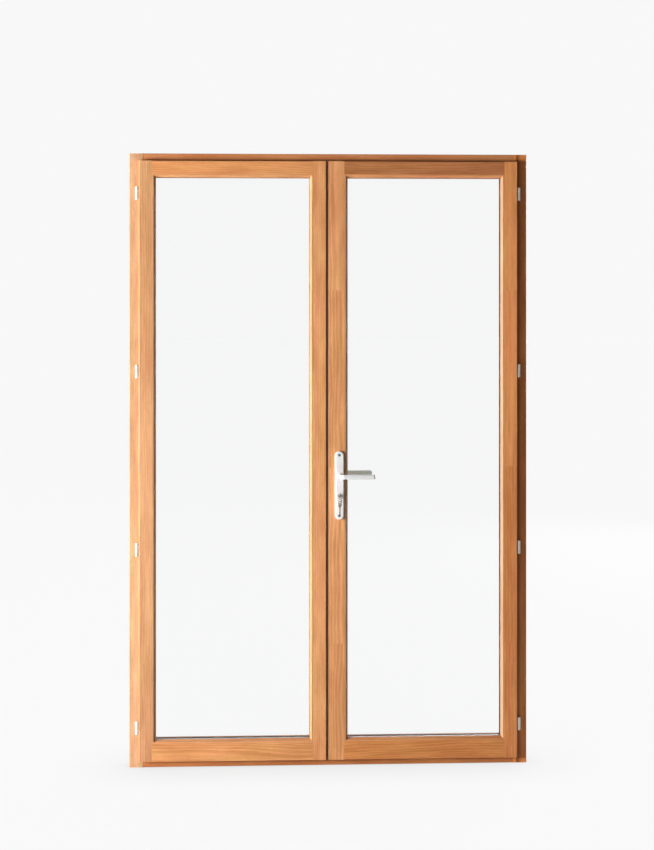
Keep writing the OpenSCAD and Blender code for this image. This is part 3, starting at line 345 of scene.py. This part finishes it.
def timber(name, box, along, tone, pith, seed, figure=1.0, jointed=0.0, gap_shade_depth=0.0,
           leaf_shadow_start=None):
    """along is 2 for an upright and 0 for a level board; pith is where the rings centre.
    jointed is how far the tone steps at each finger joint, or 0 for a board in one length.
    The last two are how dark the painted shade on the arris at the low side is, and where a
    band of painted shadow starts."""
    wood = Finish(name)
    point = wood.place()
    run, across, deep = point[along], point[2 - along], point[1]
    low, high = [(corner[2 - along], corner[1]) for corner in box]
    step = 0.5
    if jointed:
        step = block_step(wood, run, seed)
        run = run + step * BLOCK_SHIFT
    spot = (run, across, deep)
    slow = grain_noise(wood, spot, TONE_WAVES, (seed, seed), 2.0)
    sway = grain_noise(wood, spot, SWAY_WAVES, (-seed, seed), 2.0) - 0.5
    hue = grain_noise(wood, spot, HUE_WAVES, (-seed, seed), 2.0)
    mottle = grain_noise(wood, spot, MOTTLE_WAVES, (seed * 1.7, 0.0), 4.0, 0.6)
    fibre = grain_noise(wood, spot, FIBRE_WAVES, (seed, 0.0), 3.0, 0.6)
    pore = wood.fade(grain_noise(wood, spot, PORE_WAVES, (0.0, seed), 1.0), 0.62, 0.74)
    ring = growth_rings(wood, spot, sway, mottle, pith, figure)
    edge = rubbed_arris(wood, across, deep, low, high, sway)

    def shaded(mask, colour, shade):
        return wood.blend(mask, colour, tint(tone, *shade))

    grain = (0.5 + (slow - 0.5) * 1.5 + (mottle - 0.5) * 1.9 + (ring - 0.42) * 0.30 * figure
             + (fibre - 0.5) * 0.7 + (step - 0.5) * jointed)
    colour = shaded(grain, tint(tone, *LATE_WOOD), EARLY_WOOD)
    redder = wood.blend(1.0, colour, REDDER, "MULTIPLY")
    colour = wood.blend(wood.fade(hue, 0.35, 0.65), colour, redder)
    colour = shaded(pore * PORE_DARK, colour, OPEN_PORE)
    colour = shaded(edge * 0.3, colour, RUBBED_WOOD)
    if name.startswith("timber_jamb"):
        wall = wall_face(wood, across, low, high, name.endswith("left"))
        # the face against the wall, and a sliver of the front at its edge, is made darker
        colour = shaded(wall * 0.85, colour, WALL_SIDE_TONE)
    # painted shade in the gap at the meeting line: darkest at the arris, gone a few millimetres in
    if gap_shade_depth:
        gap_shade_mask = wood.fade(across - low[0] + sway * 0.0008, 0.0012, 0.0034, gap_shade_depth, 0.0)
        colour = shaded(gap_shade_mask, colour, GAP_SHADE_COLOUR)
        edge = edge - gap_shade_mask
    # painted shadow of the right leaf's edge on the right jamb, fading away from the leaf
    if leaf_shadow_start:
        colour = shaded(leaf_shadow_band(wood, across, leaf_shadow_start), colour, LEAF_SHADOW_COLOUR)
    rough = 0.47 + (fibre - 0.5) * 0.16 + pore * 0.12 - edge * 0.05
    relief = ring * 0.25 + fibre * 0.45 - pore * 0.8
    return wood.surface(Base_Color=colour, Roughness=rough, IOR=1.5, Specular_IOR_Level=0.32,
                        Coat_Weight=0.07, Coat_Roughness=0.32,
                        Normal=wood.bump(relief, 0.35, 0.0004))


print("timber ready")

# %% [markdown]
# Boards from one tree still differ. The table gives each member its tone, where its pith
# lies (across, through, and how far it leans along the board) and a seed that moves it to
# another part of the tree. One finish for all would look moulded. The two bottom rails are
# cut nearer the pith, so their rings show as arches; the stiles are straight grained.

# %% Give each member its board
BOARD = rgb(0.65, 0.32, 0.14)
MEMBERS = {
    # node: (along, tone of the board, pith, seed, figure, step at joints, painted shade at the gap)
    "jamb_left": (2, (0.84, 1.03, 1.15), (-0.82, 0.05, 0.002), 3.1, 1.0, 0.0, 0.0),
    "jamb_right": (2, (1.03, 0.77, 0.43), (0.85, 0.04, 0.003), 9.4, 1.0, 0.0, 0.0),
    "frame_head": (0, (0.84, 0.71, 0.57), (2.24, 0.03, 0.004), 14.2, 1.2, 0.0, 0.0),
    "frame_sill": (0, (0.67, 0.52, 0.36), (-0.12, 0.02, 0.003), 21.8, 1.2, 0.0, 0.0),
    "left_hinge_stile": (2, (0.84, 0.91, 0.92), (-0.74, 0.09, 0.004), 5.7, 1.0, 0.0, 0.0),
    "left_meeting_stile": (2, (1.01, 1.01, 0.90), (-0.15, 0.06, -0.003), 11.3, 1.0, 0.0, 0.0),
    "left_top_rail": (0, (0.92, 0.84, 0.66), (2.20, 0.06, 0.010), 17.9, 1.3, 0.0, 0.0),
    "left_bottom_rail": (0, (1.00, 0.99, 0.82), (0.02, 0.03, 0.030), 26.5, 1.8, 0.0, 0.0),
    "right_hinge_stile": (2, (0.96, 0.79, 0.57), (0.72, 0.08, 0.005), 31.2, 1.0, 0.8, 0.0),
    # the last value lays painted shade on this stile's arris at the meeting gap
    "right_meeting_stile": (2, (0.99, 0.99, 0.90), (0.09, 0.05, 0.006), 37.7, 1.6, 0.5, 0.97),
    "right_top_rail": (0, (0.65, 0.53, 0.42), (2.18, 0.05, -0.012), 43.1, 1.4, 0.0, 0.0),
    "right_bottom_rail": (0, (0.91, 0.77, 0.52), (0.10, 0.02, -0.035), 48.6, 1.5, 0.0, 0.0),
}
for name, (along, shade, pith, seed, figure, jointed, gap_shade_depth) in MEMBERS.items():
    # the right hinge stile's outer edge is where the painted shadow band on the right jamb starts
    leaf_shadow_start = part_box("right_hinge_stile")[1].x if name == "jamb_right" else None
    board = timber("timber_" + name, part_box(name), along, tint(BOARD, *shade), pith, seed,
                   figure, jointed, gap_shade_depth, leaf_shadow_start)
    finish_node(name, board)
    smooth(name)
print("boards:", len(MEMBERS))

# %% [markdown]
# The glazing beads are thin strips of the same timber, pinned round the glass from the room
# side. They are planed with a slope that takes the light differently on each side, which is
# why their finish is kept plain: the shape does the work.

# %% Beads
BEADS = {
    "left_upright_beads": (2, (0.82, 0.86, 0.84), (-0.3, 0.3, 0.002), 52.0),
    "right_upright_beads": (2, (0.78, 0.84, 0.86), (0.4, 0.3, 0.002), 56.0),
    "left_level_beads": (0, (0.94, 0.90, 0.86), (1.1, 0.3, 0.003), 60.0),
    "right_level_beads": (0, (0.90, 0.80, 0.70), (1.2, 0.3, 0.003), 64.0),
}
for name, (along, shade, pith, seed) in BEADS.items():
    finish_node(name, timber("bead_" + name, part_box(name), along, tint(BOARD, *shade), pith, seed))
print("beads:", len(BEADS))

# %% [markdown]
# ## Glass and what holds it
# Each leaf has a sealed unit: two panes of clear float glass with a sealed space between.
# Float glass is clear with a faint green body colour. Transparency would drop its gloss, so
# it is real transmission. A trace of smear in the roughness keeps it from looking like empty
# space when light rakes it, and a low index keeps four surfaces in a row as clear as one.

# %% Glass
CLEAR_INDEX = 1.30


def glass(name, seed):
    """Clear glass with a little smear and a very slow ripple."""
    pane = Finish(name)
    x, y, z = pane.place()
    smear = pane.fade(pane.noise([x * 5.0 + seed, y, z * 3.0], 3.0), 0.5, 0.8)
    ripple = pane.noise([x * 2.0 + seed, y, z * 2.0], 1.0)
    return pane.surface(Base_Color=rgb(0.992, 0.996, 0.994), Roughness=smear * 0.012,
                        IOR=CLEAR_INDEX, Transmission_Weight=1.0,
                        Normal=pane.bump(ripple, 0.03, 0.001))


panes = [name for name in nodes if name.endswith("_pane")]
for i, name in enumerate(panes):
    finish_node(name, glass("glass_" + name, i * 7.0))
print("panes:", len(panes))

# %% [markdown]
# The panes stand off each other on an aluminium spacer, drawn with fine grooves along its
# length. The grooves could be cut in the mesh, but at this size relief in the finish reads
# the same, and since it depends only on the depth through the wall, one rule serves all four
# sides. Rubber and tape are matt, with a grit too fine to see and a paler bloom of age.

# %% Spacer, tapes and seals
GROOVE_GAP = 0.0016   # metres between two grooves


def grooved_bar(name):
    """Drawn aluminium with grooves along it."""
    bar = Finish(name)
    x, y, z = bar.place()
    dull = bar.noise([x * 40.0, y * 40.0, z * 40.0], 3.0)
    colour = bar.blend(dull, rgb(0.46, 0.47, 0.48), rgb(0.66, 0.67, 0.68))
    return bar.surface(Base_Color=colour, Metallic=0.85, Roughness=0.34 + dull * 0.2,
                       Normal=bar.bump(bar.sine(y, GROOVE_GAP), 0.4, 0.0003))


def rubber(name, grey, seed):
    """Matt rubber: grey is its own shade, and bloom lifts it to about twice that."""
    strip = Finish(name)
    x, y, z = strip.place()
    grit = strip.noise([x * 900.0 + seed, y * 900.0, z * 900.0], 2.0)
    bloom = strip.noise([x * 30.0, y * 30.0, z * 6.0 + seed], 3.0)
    base = rgb(grey, grey, grey)
    return strip.surface(Base_Color=strip.blend(bloom, base, tint(base, 2.2, 2.1, 2.0)),
                         Roughness=0.62 + bloom * 0.2, Normal=strip.bump(grit, 0.3, 0.0002))


for side in ("left", "right"):
    finish_node(side + "_spacer", grooved_bar("spacer_" + side))
    finish_node(side + "_glazing_tapes", rubber("tape_" + side, 0.150, 3.0))
    finish_node(side + "_setting_blocks", rubber("block_" + side, 0.030, 8.0))
finish_node("frame_seal", rubber("seal_round_frame", 0.016, 12.0))
finish_node("meeting_seal", rubber("seal_at_meeting", 0.016, 16.0))
print("spacers, tapes, blocks and seals done")

# %% [markdown]
# ## Metals
# Four metals meet on this door: pale satin anodised handles, bright zinc hinges, plain steel
# in the lock and bolts, and a nickel plated cylinder with its key. They share one recipe.
# Brushing is noise stretched along one axis; it turns the gloss and lays a faint relief.
# Handling leaves soft dull patches, and fine scratches cross them.

# %% Metal finish
def metal(name, colour, metallic, rough, brush=(30.0, 30.0, 900.0), seed=0.0, wear=0.5):
    """brush is waves per metre on each axis: the lines run along the smallest one."""
    skin = Finish(name)
    x, y, z = skin.place()
    lines = skin.noise([x * brush[0] + seed, y * brush[1], z * brush[2]], 2.0)
    patch = skin.noise([x * 22.0 + seed, y * 22.0, z * 22.0], 3.0)
    scratch = skin.fade(skin.noise([x * 260.0, y * 260.0 + seed, z * 34.0], 2.0), 0.66, 0.72)
    shade = skin.blend(0.5 + (patch - 0.5) * wear + (lines - 0.5) * 0.3,
                       tint(colour, 0.90, 0.90, 0.90), tint(colour, 1.06, 1.06, 1.06))
    gloss = rough + (lines - 0.5) * 0.12 + (patch - 0.5) * 0.14 * wear + scratch * 0.1
    relief = lines * 0.4 - scratch * 0.6
    return skin.surface(Base_Color=shade, Metallic=metallic, Roughness=gloss,
                        Normal=skin.bump(relief, 0.12, 0.0002))


print("metal ready")

# %% [markdown]
# The plates are brushed up and down and the levers along their length, as they are polished
# on a belt. The anodised skin hides most of the metal under it, so the handles and hinges are
# only part metallic. Every piece has its own seed, so that no two carry the same scratches.

# %% Give each fitting its metal
ANODISED = rgb(0.86, 0.87, 0.89)
IN_SHADE = rgb(0.80, 0.83, 0.75)
NICKEL = rgb(0.70, 0.67, 0.62)
ZINC = rgb(0.84, 0.83, 0.81)
STEEL = rgb(0.60, 0.60, 0.61)
UPRIGHT = (900.0, 30.0, 12.0)
LEVEL = (14.0, 14.0, 900.0)
METALS = {
    "inside_plate": metal("satin_inside_plate", ANODISED, 0.25, 0.40, UPRIGHT, 1.0),
    "outside_plate": metal("satin_outside_plate", ANODISED, 0.25, 0.40, UPRIGHT, 2.0),
    "inside_lever": metal("satin_inside_lever", ANODISED, 0.30, 0.34, LEVEL, 3.0),
    "outside_lever": metal("satin_outside_lever", IN_SHADE, 0.30, 0.34, LEVEL, 4.0),
    "cylinder_body": metal("nickel_cylinder", rgb(0.80, 0.79, 0.77), 0.55, 0.36, seed=5.0),
    "inner_plug": metal("nickel_inner_plug", NICKEL, 0.85, 0.32, seed=6.0),
    "outer_plug": metal("nickel_outer_plug", NICKEL, 0.85, 0.32, seed=7.0),
    "door_key": metal("nickel_key", rgb(0.62, 0.60, 0.56), 0.95, 0.28, seed=8.0, wear=0.9),
    "plate_screws": metal("steel_plate_screws", rgb(0.20, 0.20, 0.21), 0.9, 0.38, seed=9.0),
}
HINGE_PIECES = ("frame_knuckles_left", "frame_knuckles_right", "left_knuckles",
                "right_knuckles", "hinge_pins")
LOCK_PIECES = ("bolt_keeps", "strike_plate", "bolt_plates", "left_screws", "right_screws",
               "upper_slide_bolt", "lower_slide_bolt", "lock_case", "lock_cover",
               "lock_faceplate", "cylinder_screw", "lever_spindle", "lever_hub", "latch_bolt",
               "dead_bolt", "cylinder_cam")
for i, name in enumerate(HINGE_PIECES):
    METALS[name] = metal("zinc_" + name, ZINC, 0.35, 0.30, (30.0, 30.0, 700.0), 20.0 + i)
for i, name in enumerate(LOCK_PIECES):
    METALS[name] = metal("steel_" + name, STEEL, 0.92, 0.34, (700.0, 700.0, 14.0), 30.0 + i)
for name, material in METALS.items():
    finish_node(name, material)
    smooth(name)
print("metal pieces:", len(METALS))

# %% [markdown]
# ## Spare key on a ring
# A spare key hangs from the key in the lock, on a split ring. The ring is two turns of wire.
# It could be two tori joined by hand, but a helix as a bevelled curve gives the split and the
# overlap in a few lines. Both pieces ride with the key in the lock.

# %% Split ring
WIRE_R = 0.0006
RING_R = 0.0090
RING_TURNS = 1.9
RING_STEPS = 76
HANG_IN = 0.006       # the ring passes through the bow this far behind its outer face
key_low, key_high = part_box("door_key")
hang = Vector(((key_low.x + key_high.x) / 2, key_low.y + HANG_IN, (key_low.z + key_high.z) / 2))


def hanging(name, curve, material):
    """Makes an object of a curve, gives it its metal and lets it ride with the key."""
    item = bpy.data.objects.new(name, curve)
    bpy.context.scene.collection.objects.link(item)
    curve.materials.append(material)
    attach(item, "key_and_plug")
    return item


ring_curve = bpy.data.curves.new("split_ring", "CURVE")
ring_curve.dimensions = "3D"
ring_curve.bevel_depth = WIRE_R
ring_curve.bevel_resolution = 3
ring_curve.use_fill_caps = True
coil = ring_curve.splines.new("POLY")
coil.points.add(RING_STEPS)
for i, spot in enumerate(coil.points):
    turn = 2 * math.pi * RING_TURNS * i / RING_STEPS
    spot.co = (RING_R * math.sin(turn), (i / RING_STEPS - 0.5) * RING_TURNS * 2.2 * WIRE_R,
               RING_R * (math.cos(turn) - 1), 1.0)
ring = hanging("split_ring", ring_curve, metal("steel_ring", STEEL, 0.95, 0.25, seed=61.0))
ring.location = hang
print("ring hangs from", [round(v, 4) for v in hang])

# %% [markdown]
# The spare key is a flat blank with a round bow, a hole and a row of cuts. A cut mesh would
# need its edges bevelled afterwards; a filled flat curve with some thickness gives the plate,
# the hole and the rounded edge at once. Its points are the outline that a key cutter follows.

# %% Spare key
BOW_R = 0.0108
BOW_POINTS = 40
HOLE_R = 0.0026
HOLE_POINTS = 24
HOLE_UP = 0.0066      # hole above the middle of the bow
BLADE_HALF = 0.0039
BLADE_END = 0.0360    # tip of the blade below the middle of the bow
CUT_DEPTHS = (0.0014, 0.0024, 0.0018, 0.0012, 0.0022)
CUT_START = 0.0045    # first cut above the tip
CUT_GAP = 0.0040
KEY_TURN = -40        # degrees that the blank is turned to the room
DROP = 2 * RING_R + HOLE_UP + 0.0015   # middle of the bow below the bow of the other key


def closed_line(curve, points):
    """Adds a closed outline through flat points to a curve."""
    line = curve.splines.new("POLY")
    line.points.add(len(points) - 1)
    for spot, at in zip(line.points, points):
        spot.co = (at[0], at[1], 0.0, 1.0)
    line.use_cyclic_u = True


spare_curve = bpy.data.curves.new("spare_key", "CURVE")
spare_curve.dimensions = "2D"
spare_curve.fill_mode = "BOTH"
spare_curve.extrude = 0.0009
spare_curve.bevel_depth = 0.0002
neck = math.asin(BLADE_HALF / BOW_R)
bow_turns = [neck + (2 * math.pi - 2 * neck) * i / BOW_POINTS for i in range(BOW_POINTS + 1)]
bow = [(BOW_R * math.cos(a), BOW_R * math.sin(a)) for a in bow_turns]
tip = [(BLADE_END - 0.003, -BLADE_HALF), (BLADE_END, -0.0012), (BLADE_END, 0.0004),
       (BLADE_END - 0.0028, 0.0030)]
cuts = []
for i, depth in enumerate(CUT_DEPTHS):
    at = BLADE_END - CUT_START - i * CUT_GAP
    cuts += [(at, BLADE_HALF), (at - 0.0010, BLADE_HALF - depth),
             (at - 0.0022, BLADE_HALF - depth), (at - 0.0032, BLADE_HALF)]
closed_line(spare_curve, bow + tip + cuts)
closed_line(spare_curve, [(HOLE_R * math.cos(a) - HOLE_UP, HOLE_R * math.sin(a))
                          for a in (2 * math.pi * i / HOLE_POINTS for i in range(HOLE_POINTS))])
# painted shade: the spare key's nickel is set darker than the key in the lock, on top of its real
# shading
shade_darkened_nickel = metal("nickel_spare_key", rgb(0.46, 0.42, 0.38), 0.95, 0.30, seed=62.0, wear=0.9)
spare = hanging("spare_key", spare_curve, shade_darkened_nickel)
# the blank lies in its own XY plane: its X hangs down, and it is turned a little to the room
down = Matrix(((0, 0, 1), (0, 1, 0), (-1, 0, 0))).to_4x4()
spare.matrix_world = (Matrix.Translation(hang + Vector((0, 0, -DROP)))
                      @ Matrix.Rotation(math.radians(KEY_TURN), 4, "Z") @ down)
print("spare key hangs to z", round(hang.z - DROP - BLADE_END, 4))

# %% [markdown]
# ## Room for the look
# The doors stand on a pale floor that runs out of sight and meets the room without a line.
# A lit floor would fall off in tone with distance, so to the eye it shines evenly in the
# room's own white, with a painted contact shadow where something stands close to it; as a
# source of light it stays a plain matt floor.

# %% Floor
WHITE = 0.940
FLOOR_REACH = 60.0
FLOOR_SHINE = 1.0135    # makes the floor's white meet the room's
FLOOR_SHARE = 0.985     # how much of what is seen is that shine
FOOT_SHADE = 0.72       # the floor's white right under the doors
FOOT_REACH = 0.30       # metres over which that shade fades
floor_mesh = bpy.data.meshes.new("floor")
corners = [(-FLOOR_REACH, -FLOOR_REACH, 0), (FLOOR_REACH, -FLOOR_REACH, 0),
           (FLOOR_REACH, FLOOR_REACH, 0), (-FLOOR_REACH, FLOOR_REACH, 0)]
floor_mesh.from_pydata(corners, [], [(0, 1, 2, 3)])
floor = bpy.data.objects.new("floor", floor_mesh)
floor.location.z = cad_low.z - 0.0005
bpy.context.scene.collection.objects.link(floor)

ground = Finish("pale_floor")
ground_x, ground_y, ground_z = ground.place()
dust = ground.noise([ground_x * 3.0, ground_y * 3.0, ground_z], 3.0)
matt = ground.add("ShaderNodeBsdfPrincipled", inputs={
    "Base Color": ground.blend(dust, rgb(0.80, 0.80, 0.80), rgb(0.83, 0.83, 0.83)),
    "Roughness": 0.7})
# painted contact shadow: the emitted white is darkened where the floor is closed in near the doors
openness = ground.add("ShaderNodeAmbientOcclusion", {"samples": 8}, {"Distance": FOOT_REACH},
                      out="AO")
shown = ground.blend(openness, rgb(FOOT_SHADE, FOOT_SHADE, FOOT_SHADE), rgb(WHITE, WHITE, WHITE))
even = ground.add("ShaderNodeEmission", inputs={"Color": shown, "Strength": FLOOR_SHINE})
ground.add("ShaderNodeOutputMaterial", inputs={
    0: ground.add("ShaderNodeMixShader", inputs={
        0: ground.looked_at() * FLOOR_SHARE, 1: matt, 2: even})})
floor_mesh.materials.append(ground.material)
print("floor at", round(floor.location.z, 4))

# %% [markdown]
# The room is the world behind everything. One bright background would also light every face
# alike and wash out the shape of the timber, so it is bright to look at and dim as a light,
# as a white studio is with its lamps turned away.

# %% World
AMBIENT = 0.12
world = bpy.data.worlds.new("pale_room")
world.use_nodes = True
bpy.context.scene.world = world
room = Finish("pale_room", world)
dim = room.add("ShaderNodeBackground", inputs={"Color": rgb(1.0, 0.99, 0.975), "Strength": AMBIENT})
pale = room.add("ShaderNodeBackground", inputs={"Color": rgb(WHITE, WHITE, WHITE)})
room.add("ShaderNodeOutputWorld", inputs={
    0: room.add("ShaderNodeMixShader", inputs={0: room.looked_at(), 1: dim, 2: pale})})
print("world set, ambient", AMBIENT)

# %% [markdown]
# One soft light stands some five metres to the left at half height, almost in the plane of
# the doors. It rakes the faces, throws the edge of the right leaf on to the frame and lights
# every surface that looks left; from the front it would show no depth at all. A weaker and
# larger one behind lights the outdoor side.

# %% Lights
KEY_PLACE = (-5.2, -2.15, 1.15)
KEY_SIZE = (2.10, 1.25)
KEY_WATTS = 672.0
KEY_WARMTH = (1.0, 0.985, 0.96)
FILL_PLACE = (3.5, 6.0, 2.4)
FILL_SIZE = (3.0, 3.0)
FILL_WATTS = 520.0


def soft_light(name, place, size, watts, colour=(1.0, 1.0, 1.0)):
    """A rectangle of light that faces the middle of the doors."""
    lamp = bpy.data.lights.new(name, "AREA")
    lamp.shape = "RECTANGLE"
    lamp.size, lamp.size_y = size
    lamp.energy = watts
    lamp.color = colour
    item = bpy.data.objects.new(name, lamp)
    item.location = place
    aim = (cad_low + cad_high) / 2 - Vector(place)
    item.rotation_mode = "QUATERNION"
    item.rotation_quaternion = aim.to_track_quat("-Z", "Y")
    bpy.context.scene.collection.objects.link(item)


soft_light("key_left", KEY_PLACE, KEY_SIZE, KEY_WATTS, KEY_WARMTH)
soft_light("back_fill", FILL_PLACE, FILL_SIZE, FILL_WATTS)
print("lights:", KEY_WATTS, "W and", FILL_WATTS, "W")

# %% [markdown]
# ## Camera
# A long lens stands well back at eye height, a little left of the middle, turned slightly to
# the right and kept level so that the uprights stay upright; the frame is shifted down
# instead of tilting, as an architect's camera does.

# %% Camera
LENS = 79.53              # millimetres, on a sensor 36 mm wide
SHIFT_DOWN = 0.1563       # in sensor widths
EYE = (-0.352, -6.630, 1.664)
TURNED_RIGHT = 2.997      # degrees
camera_data = bpy.data.cameras.new("camera")
camera_data.sensor_width = 36.0
camera_data.lens = LENS
camera_data.shift_y = -SHIFT_DOWN
camera_data.clip_end = 200.0
camera = bpy.data.objects.new("camera", camera_data)
camera.location = EYE
camera.rotation_euler = (math.radians(90), 0.0, math.radians(-TURNED_RIGHT))
bpy.context.scene.collection.objects.link(camera)
bpy.context.scene.camera = camera
bpy.context.scene.view_settings.view_transform = "Standard"
bpy.context.scene.view_settings.look = "None"
print("camera at", [round(v, 3) for v in camera.location])
